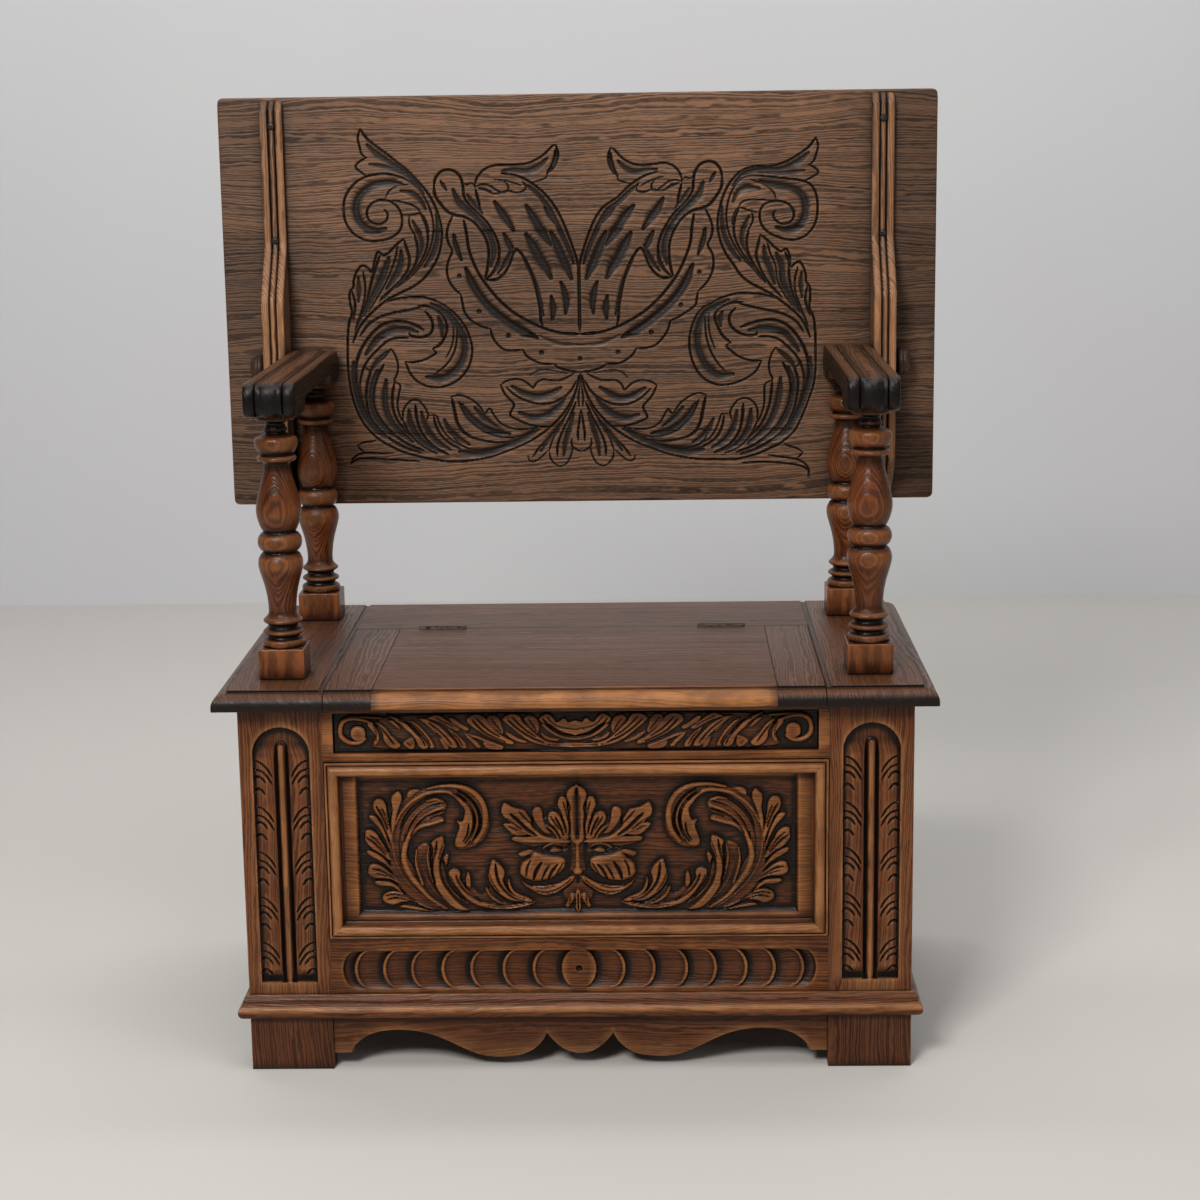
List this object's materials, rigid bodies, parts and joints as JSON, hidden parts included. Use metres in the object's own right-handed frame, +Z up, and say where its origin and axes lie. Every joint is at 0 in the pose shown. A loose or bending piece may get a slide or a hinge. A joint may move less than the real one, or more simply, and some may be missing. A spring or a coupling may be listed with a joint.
{
  "type": "settle bench",
  "caption": "Carved oak settle bench with a storage chest under a hinged seat, turned arm supports and a back that tips and slides forward to make a table.",
  "frame": {"origin": "on the floor under the middle of the seat", "axes": "+Z up, +Y to the back of the bench, -Y to the sitter's front, +X to the right seen from the front"},
  "size_m": [0.862, 0.47, 1.07],
  "materials": {
    "carved_oak": "warm brown oak, waxed, with dark sunk ground and worn high edges",
    "frame_oak": "warm brown oak with dark open grain, waxed",
    "turned_oak": "turned orange-brown oak with near-black recesses, polished",
    "arm_oak": "dark stained oak, handled smooth",
    "table_oak": "dark brown oak with strong black grain and incised carving",
    "seat_oak": "greyish brown oak, worn by use",
    "plain_oak": "plain unpolished oak inside and behind",
    "hinge_steel": "aged dark steel",
    "screw_steel": "aged dark slotted steel"
  },
  "bodies": {
    "base": {"front_stile_left": "carved_oak", "front_stile_right": "carved_oak", "front_rail_top": "carved_oak", "front_rail_bottom": "carved_oak", "front_panel": "carved_oak", "panel_moulding_top": "carved_oak", "panel_moulding_bottom": "carved_oak", "panel_moulding_left": "carved_oak", "panel_moulding_right": "carved_oak", "side_stile_front_left": "frame_oak", "side_stile_front_right": "frame_oak", "side_stile_back_left": "frame_oak", "side_stile_back_right": "frame_oak", "side_rail_top_left": "frame_oak", "side_rail_top_right": "frame_oak", "side_rail_bottom_left": "frame_oak", "side_rail_bottom_right": "frame_oak", "side_panel_left": "frame_oak", "side_panel_right": "frame_oak", "back_rail_top": "plain_oak", "back_rail_bottom": "plain_oak", "back_panel": "plain_oak", "chest_floor": "plain_oak", "floor_bearer_front": "plain_oak", "floor_bearer_back": "plain_oak", "plinth_front": "frame_oak", "plinth_left": "frame_oak", "plinth_right": "frame_oak", "apron": "frame_oak", "seat_end_board_left": "seat_oak", "seat_end_board_right": "seat_oak", "hinge_rail": "seat_oak", "hinge_leaf_rail_left": "hinge_steel", "hinge_leaf_rail_right": "hinge_steel", "hinge_pin_left": "hinge_steel", "hinge_pin_right": "hinge_steel", "baluster_front_left": "turned_oak", "baluster_front_right": "turned_oak", "baluster_rear_left": "turned_oak", "baluster_rear_right": "turned_oak", "arm_left": "arm_oak", "arm_right": "arm_oak"},
    "lid": {"lid_panel": "seat_oak", "lid_cleat_left": "seat_oak", "lid_cleat_right": "seat_oak", "hinge_leaf_lid_left": "hinge_steel", "hinge_leaf_lid_right": "hinge_steel"},
    "pegs": {"pivot_peg_left": "arm_oak", "pivot_peg_right": "arm_oak"},
    "table_top": {"table_plank_top": "table_oak", "table_plank_upper": "table_oak", "table_plank_lower": "table_oak", "table_plank_bottom": "table_oak", "batten_left": "frame_oak", "batten_right": "frame_oak", "batten_screw_upper_left": "screw_steel", "batten_screw_upper_right": "screw_steel", "batten_screw_lower_left": "screw_steel", "batten_screw_lower_right": "screw_steel"}
  },
  "joints": [
    {"name": "table_tilt", "type": "hinge", "parent": "base", "child": "pegs", "pos_m": [0, 0.168, 0.748], "axis": [1, 0, 0], "range_deg": [0, 90]},
    {"name": "table_slide", "type": "slide", "parent": "pegs", "child": "table_top", "axis": [0, 0, 1], "range_m": [0, 0.0925]},
    {"name": "lid_hinge", "type": "hinge", "parent": "base", "child": "lid", "pos_m": [0, 0.087, 0.44], "axis": [-1, 0, 0], "range_deg": [0, 109]}
  ]
}
